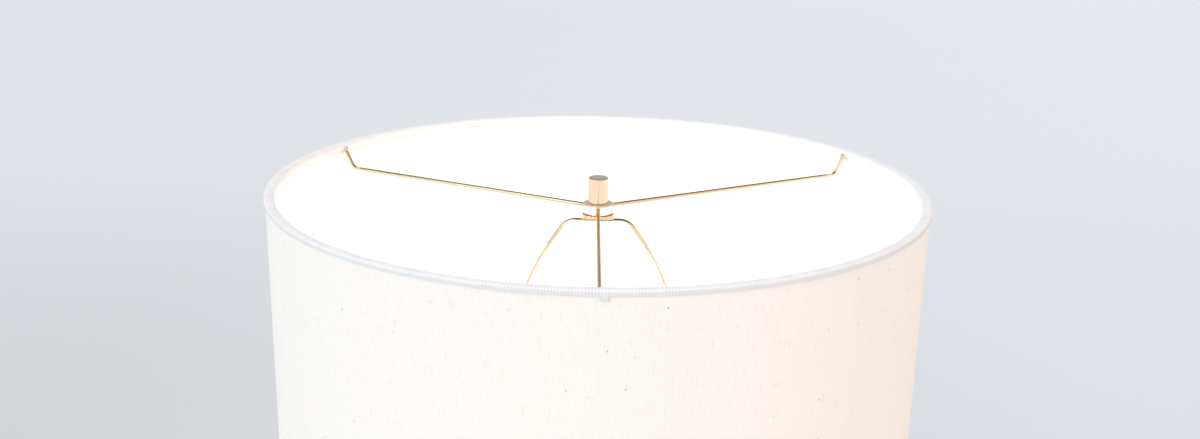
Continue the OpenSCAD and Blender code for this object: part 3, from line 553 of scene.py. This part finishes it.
def oak(name, along, offset):
    """Light oak with its grain along a direction. offset makes each piece its own cut of wood."""
    material, tree, shader = new_material(name, 0.42, Coat_Weight=0.35, Coat_Roughness=0.22)
    along = Vector(along).normalized()
    side = along.orthogonal().normalized()
    over = along.cross(side)
    place = add(tree, "ShaderNodeTexCoord").outputs["Object"]
    shares = [add(tree, "ShaderNodeVectorMath", [(0, place), (1, tuple(way))],
                  operation="DOT_PRODUCT").outputs[1] for way in (side, over, along)]
    local = add(tree, "ShaderNodeCombineXYZ", list(enumerate(shares))).outputs[0]
    # Growth rings wander; pores are short dark dashes
    drawn_out = add(tree, "ShaderNodeMapping", [(0, local), (1, offset), (3, (1, 1, 0.06))]).outputs[0]
    rings = add(tree, "ShaderNodeTexWave", [(0, drawn_out), (1, BAND / (RING_STEP * MM)), (2, 7.0),
                                            (3, 2.0), (4, 0.35)], bands_direction="X").outputs[0]
    fine = add(tree, "ShaderNodeMapping", [(0, local), (1, offset), (3, (1800, 1800, 60))]).outputs[0]
    pores = add(tree, "ShaderNodeTexNoise", [(0, fine), (2, 1.0), (3, 3.0)]).outputs[0]
    dark = add(tree, "ShaderNodeMapRange", [(0, pores), (1, 0.56), (2, 0.68)]).outputs[0]
    broad = add(tree, "ShaderNodeTexNoise", [(0, drawn_out), (2, 30.0), (3, 2.0)]).outputs[0]
    wood = add(tree, "ShaderNodeMix", [(0, rings), (6, linear("#C79B66")), (7, linear("#DDB787"))],
               data_type="RGBA").outputs[2]
    for amount, colour in ((broad, "#D2A876"), (dark, "#9A6F42")):
        wood = add(tree, "ShaderNodeMix", [(0, amount), (6, wood), (7, linear(colour))],
                   data_type="RGBA").outputs[2]
    tree.links.new(wood, shader.inputs["Base Color"])
    rough = add(tree, "ShaderNodeMapRange", [(0, pores), (1, 0.3), (2, 0.7), (3, 0.36), (4, 0.52)])
    tree.links.new(rough.outputs[0], shader.inputs["Roughness"])
    bump = add(tree, "ShaderNodeBump", [("Height", pores), ("Strength", 0.2), ("Distance", 0.1 * MM)])
    tree.links.new(bump.outputs[0], shader.inputs["Normal"])
    return material


# %% Oak: the hub and the legs
LEG_SPREAD = 0.78  # how far a leg's foot stands out from its top, as a share of the foot's own distance
give(oak("light_oak_hub", (1, 0.15, 0), (0.3, 0.1, 0.2)), "hub")
for number, name in enumerate(("leg_front", "leg_right", "leg_left")):
    low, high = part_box(name)
    outward = Vector((low.x + high.x, low.y + high.y, 0)).normalized()
    reach = max(abs(low.x), abs(low.y), abs(high.x), abs(high.y))
    axis = Vector((0, 0, high.z - low.z)) - outward * (reach * LEG_SPREAD)
    give(oak("light_oak_" + name, axis, (number * 0.7, number * 0.4, 0)), name)
print("oak on the hub and three legs")

# %% [markdown]
# ## Small metal, plastic and rubber
#
# What is left is mostly out of sight: zinc-plated screws and pipe, a nickelled screw shell, black nylon
# and rubber, brown fibre card and the white plastic of the bulb. Each still gets the grain of its own
# surface.

# %% One recipe for the plain finishes


def plain(name, dark, light, roughness, grain_mm, bump_mm, **constants):
    material, tree, shader = new_material(name, roughness, **constants)
    place = add(tree, "ShaderNodeTexCoord").outputs["Object"]
    grain = add(tree, "ShaderNodeTexNoise", [(0, place), (2, 1 / (grain_mm * MM)), (3, 3.0)]).outputs[0]
    colour = add(tree, "ShaderNodeMix", [(0, grain), (6, linear(dark)), (7, linear(light))],
                 data_type="RGBA")
    tree.links.new(colour.outputs[2], shader.inputs["Base Color"])
    bump = add(tree, "ShaderNodeBump", [("Height", grain), ("Strength", 0.3), ("Distance", bump_mm * MM)])
    tree.links.new(bump.outputs[0], shader.inputs["Normal"])
    return material


give(plain("zinc_plated_steel", "#A7A9AA", "#BDBFBE", 0.32, 2, 0.02, Metallic=1.0),
     "hub_plate_screws", "lamp_pipe", "pipe_nut", "pipe_lock_washer", "leg_bolts", "cap_set_screw")
nickel = plain("nickelled_brass", "#C9C6BE", "#D8D5CD", 0.2, 3, 0.01, Metallic=1.0)
give(nickel, "bulb_contact")
give(plain("moulded_black_nylon", "#1B1B1C", "#262627", 0.5, 0.4, 0.03),
     "cord_bushing", "switch_knob", "socket_body", "bulb_insulator")
give(plain("black_rubber", "#202020", "#2B2A29", 0.8, 0.6, 0.05), "foot_pads")
give(plain("brown_fibre_card", "#6E5A41", "#7E6A50", 0.75, 0.8, 0.05), "socket_card_liner")
give(plain("white_polycarbonate", "#E9E8E4", "#F2F1ED", 0.35, 1, 0.01), "bulb_housing", "led_board")
print("six plain finishes")

# %% [markdown]
# ## The lit bulb
#
# The bulb's dome is frosted polycarbonate, and it is on. It gives the light that washes the inside of
# the shade to white, so it is a shader that emits, and not a lamp object: the light then comes from
# where it should, and goes with the bulb when it is unscrewed.

# %% Light the bulb
GLOW = 20.0

frosted, tree, shader = new_material("frosted_polycarbonate_lit", 0.45, Emission_Strength=GLOW,
                                     Emission_Color=linear("#FFFAF3"))
place = add(tree, "ShaderNodeTexCoord").outputs["Object"]
frost = add(tree, "ShaderNodeTexNoise", [(0, place), (2, 1 / (1.5 * MM)), (3, 2.0)]).outputs[0]
colour = add(tree, "ShaderNodeMix", [(0, frost), (6, linear("#F6F1E8")), (7, linear("#FBF8F2"))],
             data_type="RGBA")
tree.links.new(colour.outputs[2], shader.inputs["Base Color"])
give(frosted, "bulb_globe")
print("bulb glows at", GLOW)

# %% [markdown]
# ## Welds
#
# The spider is welded: each arm to the ring at one end, and to the washer at the other. A weld leaves a
# small swollen bead, which the brass plating covers in a slightly redder tone. A bead is a row of
# circles on the arm's axis, each one a little uneven.

# %% Beads at both ends of each arm
RING_BEAD = (1.22, 1.35, 1.6, 1.85, 1.95, 1.9, 1.7, 1.3, 0.7)  # radii in mm, from the arm outwards
WASHER_BEAD = (0.9, 1.25, 1.42, 1.5, 1.5, 1.42, 1.32, 1.22)  # from the washer outwards
BEAD_SIDES = 20
weld = brass("brass_plated_weld", ("#E2B596", "#EFC9AC"), 0.3, 0.15, (1.5, 1.5, 1.5), 0.05)


def bead(name, start, end, radii, seed):
    """Circles from start to end. radii gives each one's size in mm."""
    along = (end - start).normalized()
    side = along.orthogonal().normalized()
    over = along.cross(side)
    sections = []
    for i, radius in enumerate(radii):
        centre = start.lerp(end, i / (len(radii) - 1))
        sections.append([centre + (side * math.cos(a) + over * math.sin(a)) * MM * radius
                         * (1 + 0.05 * math.sin(3 * a + seed + i) + 0.04 * math.sin(5 * a - i))
                         for a in (j * math.tau / BEAD_SIDES for j in range(BEAD_SIDES))])
    return loft(name, sections, "shade", weld)


washer_r = size_of("spider_washer").x / 2
for number, (node, end) in enumerate(zip(ARMS, arm_ends)):
    out = Vector((end.x, end.y, 0)).normalized()
    slope = out * ARM_OUT + Vector((0, 0, ARM_UP))
    arm = node.removeprefix("spider_")
    bead("ring_" + arm + "_weld", end - slope * 2.0 * MM, end + slope * 1.3 * MM, RING_BEAD, number)
    foot = out * washer_r + Vector((0, 0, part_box(node)[0].z + WIRE_R * MM))
    bead("washer_" + arm + "_weld", foot - out * 1.6 * MM, foot + out * 1.9 * MM, WASHER_BEAD, number + 3)
print("six weld beads, on arms that end", round(arm_ends[0].xy.length, 4), "m out")

# %% [markdown]
# ## The clip and the washer
#
# Both are stamped from brass sheet. A die rounds the edges that it cuts, and that thin round edge is
# what draws the dark line round the washer. The clip is folded to a channel and then pinched round the
# wire, so that each of its walls stands out at the wire's height. A section of the sheet travels along
# the wire, and its walls end higher or lower to give the hollow upper edge.

# %% Fold the clip round the wire
SHEET = 0.5  # mm
PINCH = 0.45  # mm that a wall stands out where it passes the wire
WALL_DIP = 2.0  # mm of wall above the wire's middle, half way along
END_CUT = 0.6  # mm that each end slants in from bottom to top
BEND_R = 0.7  # mm, outside of the fold
BROKEN = 0.15  # mm that is taken off a sharp edge


def folded_clip():
    """Its sections are (y, z) loops, in mm from the wire's middle. share runs along it from -1 to 1."""
    low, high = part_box("harp_clip")
    wire_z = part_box("harp_bow")[1].z / MM - WIRE_R
    half, wide, under, tall = high.x / MM, high.y / MM, low.z / MM - wire_z, high.z / MM - wire_z
    half_top = half - END_CUT
    sag = tall - WALL_DIP
    hollow_r = (half_top ** 2 + sag ** 2) / (2 * sag)
    slant = END_CUT / (tall - under)
    sections = []
    for share in between(-1, 1, 41):
        top = WALL_DIP + hollow_r - math.sqrt(hollow_r ** 2 - (share * half_top) ** 2)
        outer = [(wide - BROKEN, top), (wide, top - BROKEN), (wide, WIRE_R)]
        inner = [(wide - SHEET, top), (wide - SHEET, WIRE_R)]
        for u in between(-0.9, 0.9, 9):
            bulge = PINCH * math.cos(math.pi / 2 * u) ** 2
            outer.append((wide + bulge, -u))
            inner.append((wide - SHEET + bulge * 0.8, -u))
        for a in between(0, -90, 6):
            c, s = math.cos(math.radians(a)), math.sin(math.radians(a))
            for side, r in ((outer, BEND_R), (inner, BEND_R - SHEET)):
                side.append((wide - BEND_R + r * c, under + BEND_R + r * s))
        loop = outer + [(-y, z) for y, z in reversed(outer)] + [(-y, z) for y, z in inner] + inner[::-1]
        sections.append([Vector((share * (half - slant * (z - under)), y, z + wire_z)) * MM
                         for y, z in loop])
    return loft("folded_clip", sections, "harp", pressed_brass)


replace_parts(folded_clip(), "harp_clip")
print("clip folded from", SHEET, "mm sheet")

# %% Stamp the washer
DIE_ROUND = 0.5  # mm, of the outer edge
HOLE_EDGE = 0.2  # mm taken off the edge of the hole
WASHER_SIDES = 120


def stamped_washer():
    low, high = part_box("spider_washer")
    outside, hole, t = high.x / MM, inner_radius("spider_washer") / MM, (high.z - low.z) / MM
    edge = outside - DIE_ROUND
    loop = [(hole, HOLE_EDGE), (hole + HOLE_EDGE, 0)]
    for middle_z, start in ((DIE_ROUND, -90), (t - DIE_ROUND, 0)):
        for a in between(math.radians(start), math.radians(start + 90), 5):
            loop.append((edge + DIE_ROUND * math.cos(a), middle_z + DIE_ROUND * math.sin(a)))
    loop += [(hole + HOLE_EDGE, t), (hole, t - HOLE_EDGE)]
    sections = [[way_round(j * math.tau / WASHER_SIDES) * (r * MM) + Vector((0, 0, low.z + z * MM))
                 for r, z in loop] for j in range(WASHER_SIDES)]
    return loft("stamped_washer", sections, "shade", stamped_brass, closed=True)


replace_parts(stamped_washer(), "spider_washer")
print("washer", round(2 * washer_r / MM, 1), "mm across")

# %% [markdown]
# ## Threads
#
# The stud, the bulb's cap and the socket's shell have threads that show once the lamp is taken apart.
# The stud is a turned solid, so it is a stack of circles; a thread pushes each point in or out by its
# height and its angle. The cap and the shell are rolled from thin sheet, so their round thread shows
# inside and outside alike.

# %% The stud, with its fine thread
STUD_PITCH = 0.94  # mm: 27 threads to the inch
STUD_SEAT = 12.65  # mm from the rivet's underside to the seat's face
STUD_CORE = 2.75  # mm, radius at the bottom of the thread
STUD_DEEP = 0.35  # mm from there to its crest
STUD_SIDES = 32
TURN_STEPS = 8  # circles in one turn of the thread


def stud_thread():
    low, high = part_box("harp_stud")
    tall = (high.z - low.z) / MM
    # (height, radius) of the rivet's head, its shank, the neck, the seat and the start of the core
    profile = [(0, 1.1), (0.2, 1.6), (0.5, 1.85), (0.8, 1.9), (0.8, 1.0), (3.95, 1.0), (3.95, 1.4),
               (4.1, 1.5), (STUD_SEAT - 1, 1.5), (STUD_SEAT - 1, 6.3), (STUD_SEAT - 0.8, 6.5),
               (STUD_SEAT - 0.2, 6.5), (STUD_SEAT, 6.3), (STUD_SEAT, STUD_CORE), (STUD_SEAT + 0.6, STUD_CORE)]
    steps = round((tall - STUD_SEAT - 1.2) / STUD_PITCH * TURN_STEPS)
    rows = [(h, [r] * STUD_SIDES) for h, r in profile]
    for i in range(steps + 1):
        h = STUD_SEAT + 0.7 + i * STUD_PITCH / TURN_STEPS
        deep = STUD_DEEP * min(i / TURN_STEPS, 1, (steps - i) / 6 + 0.4)  # the thread runs in and out
        turns = [(h / STUD_PITCH - j / STUD_SIDES) % 1 for j in range(STUD_SIDES)]
        rows.append((h, [STUD_CORE + deep * (1 - abs(2 * turn - 1)) for turn in turns]))
    rows += [(tall - 0.2, [2.7] * STUD_SIDES), (tall, [2.45] * STUD_SIDES)]  # the broken edge of its end
    sections = [[way_round(j * math.tau / STUD_SIDES) * (r * MM) + Vector((0, 0, low.z + h * MM))
                 for j, r in enumerate(radii)] for h, radii in rows]
    return loft("turned_stud", sections, "stud", turned_brass)


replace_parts(stud_thread(), "harp_stud")
print("stud with a thread of", STUD_PITCH, "mm pitch")

# %% The bulb's cap and the socket's shell
SCREW_PITCH = 3.63  # mm: 7 threads to the inch
SHELL_SIDES = 72
RUN_IN = 1.5  # mm over which a thread grows to its full depth


def rolled_shell(name, node, crest, deep, first, last, body, material, lip):
    """Thin sheet with a round thread from height first to last.

    crest is the largest outside radius, deep the thread's depth, and lip what the lowest edge is drawn in
    by, in mm."""
    low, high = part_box(node)
    tall = (high.z - low.z) / MM
    heights = [0, 0.3, 0.7] + between(first, last, round((last - first) / 0.3)) + [tall - 0.5, tall]
    sections = []
    for j in range(SHELL_SIDES):
        way = way_round(j * math.tau / SHELL_SIDES)
        outer = []
        for h in heights:
            grow = min(max(min(h - first, last - h) / RUN_IN, 0), 1)
            wave = 0.5 - 0.5 * math.cos(math.tau * (h / SCREW_PITCH - j / SHELL_SIDES))
            outer.append((crest - deep * wave * grow - (lip if h == 0 else 0), h))
        shape = outer + [(r - SHEET, h) for r, h in reversed(outer)]
        sections.append([way * (r * MM) + Vector((0, 0, low.z + h * MM)) for r, h in shape])
    made = loft(name, sections, body, material, closed=True)
    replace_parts(made, node)


rolled_shell("threaded_bulb_cap", "bulb_cap", 12.95, 0.75, 2.6, 14.6, "bulb", nickel, 0.2)
rolled_shell("threaded_screw_shell", "socket_screw_shell", 14.15, 0.6, 0.8, 23.0, "base", nickel, 0.0)
print("two shells with a thread of", SCREW_PITCH, "mm pitch")

# %% [markdown]
# ## Smooth the curved faces
#
# The solids arrive as flat facets. Faces that meet at a shallow angle belong to one curved surface, and
# are shaded as one; a sharper meeting stays an edge.

# %% Shade smoothly up to an angle
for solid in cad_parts.values():
    solid.data.polygons.foreach_set("use_smooth", [True] * len(solid.data.polygons))
    split = solid.modifiers.new("keep_edges", "EDGE_SPLIT")
    split.split_angle = SHARP
print("smoothed", len(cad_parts), "solids")

# %% [markdown]
# ## Floor, world and lights
#
# The studio is a pale blue-grey sweep. Near the lamp and to its left the floor is painted a little darker:
# painted shade, for light that falls off there. The light is plain and close to white, so that a colour
# comes out as it was written.

# %% Floor
FLOOR_R = 14.0  # far enough out to reach the picture's top edge

floor_mesh = bpy.data.meshes.new("floor")
floor_shape = bmesh.new()
bmesh.ops.create_circle(floor_shape, cap_ends=True, segments=64, radius=FLOOR_R)
floor_shape.to_mesh(floor_mesh)
floor_shape.free()
floor = bpy.data.objects.new("floor", floor_mesh)
bpy.context.collection.objects.link(floor)
floor_finish, tree, shader = new_material("floor_with_painted_shade", 0.9, Specular_IOR_Level=0.0)
place = add(tree, "ShaderNodeTexCoord").outputs["Object"]
# Painted shade: darker near the lamp and to its left, by the metres behind the lamp and to its left and right
spot = add(tree, "ShaderNodeSeparateXYZ", [(0, place)]).outputs
far = add(tree, "ShaderNodeMapRange", [(0, spot[1]), (1, 0.9), (2, 3.2)],
          interpolation_type="SMOOTHSTEP").outputs[0]
near_right = add(tree, "ShaderNodeMapRange", [(0, spot[0]), (1, -0.9), (2, 0.9)]).outputs[0]
far_right = add(tree, "ShaderNodeMapRange", [(0, spot[0]), (1, -3.0), (2, 3.0)]).outputs[0]
near_tone = add(tree, "ShaderNodeMix", [(0, near_right), (6, linear("#D0D6DD")), (7, linear("#DBE2EA"))],
                data_type="RGBA").outputs[2]
far_tone = add(tree, "ShaderNodeMix", [(0, far_right), (6, linear("#DBE3EB")), (7, linear("#E1E9F1"))],
               data_type="RGBA").outputs[2]
floor_tone_with_painted_shade = add(tree, "ShaderNodeMix", [(0, far), (6, near_tone), (7, far_tone)],
            data_type="RGBA").outputs[2]
tree.links.new(floor_tone_with_painted_shade, shader.inputs["Base Color"])
floor_mesh.materials.append(floor_finish)
print("floor", round(floor.dimensions.x), "m across")

# %% [markdown]
# Polished brass is only as good as what it reflects. Its upper faces look at the sky over the shade, and
# in a studio that is the dim upper part of the room; its lower faces look at the lit liner. So the world
# has two sides. What the eye and a mirror see is pale at the horizon, blue-grey above it and dimmer
# overhead. What lights the cloth is an even white. The Light Path node tells the two kinds of ray apart.

# %% World
world = bpy.data.worlds.new("studio")
bpy.context.scene.world = world
world.use_nodes = True
tree = world.node_tree
way = add(tree, "ShaderNodeTexCoord").outputs["Generated"]
lift = add(tree, "ShaderNodeSeparateXYZ", [(0, way)]).outputs[2]
low_sky = add(tree, "ShaderNodeMapRange", [(0, lift), (1, 0.04), (2, 0.16)]).outputs[0]
high_sky = add(tree, "ShaderNodeMapRange", [(0, lift), (1, 0.26), (2, 0.43)]).outputs[0]
sky = add(tree, "ShaderNodeMix", [(0, low_sky), (6, linear("#DEE3E9")), (7, linear("#BACCDB"))],
          data_type="RGBA").outputs[2]
sky = add(tree, "ShaderNodeMix", [(0, high_sky), (6, sky), (7, linear("#5E7283"))],
          data_type="RGBA").outputs[2]
ray = add(tree, "ShaderNodeLightPath").outputs
mirrored = add(tree, "ShaderNodeMath", [(0, ray["Is Glossy Ray"]), (1, ray["Is Transmission Ray"])],
               operation="MAXIMUM").outputs[0]
seen = add(tree, "ShaderNodeMath", [(0, ray["Is Camera Ray"]), (1, mirrored)],
           operation="MAXIMUM").outputs[0]
side = add(tree, "ShaderNodeSeparateXYZ", [(0, way)]).outputs[0]
warm = add(tree, "ShaderNodeMapRange", [(0, side), (1, 0.0), (2, 1.0)]).outputs[0]
even = add(tree, "ShaderNodeMix", [(0, warm), (6, linear("#E9E9EA")), (7, linear("#E8E4DC"))],
           data_type="RGBA").outputs[2]
shown = add(tree, "ShaderNodeMix", [(0, seen), (6, even), (7, sky)], data_type="RGBA").outputs[2]
tree.links.new(shown, tree.nodes["Background"].inputs["Color"])
print("world with", len(tree.nodes), "nodes")

# %% [markdown]
# Two wide, soft suns shape the drum. The stronger one stands to the left of the camera and is neutral.
# The other stands low on the right and is warm, as the photograph's linen turns faintly pink on that
# side.

# %% Two suns
# Each row holds where it shines to, its strength, its colour and its width in degrees
for name, towards, strength, colour, spread in (
        ("sun_left", (0.75, 1.0, -0.75), 1.0, "#FFFDFB", 50),
        ("sun_right", (-1.0, 0.42, -0.3), 0.66, "#FFB374", 60)):
    sun = bpy.data.objects.new(name, bpy.data.lights.new(name, "SUN"))
    bpy.context.collection.objects.link(sun)
    sun.data.energy = strength
    sun.data.color = linear(colour)[:3]
    sun.data.angle = math.radians(spread)
    sun.rotation_mode = "QUATERNION"
    sun.rotation_quaternion = Vector(towards).to_track_quat("-Z", "Y")
print("two suns")
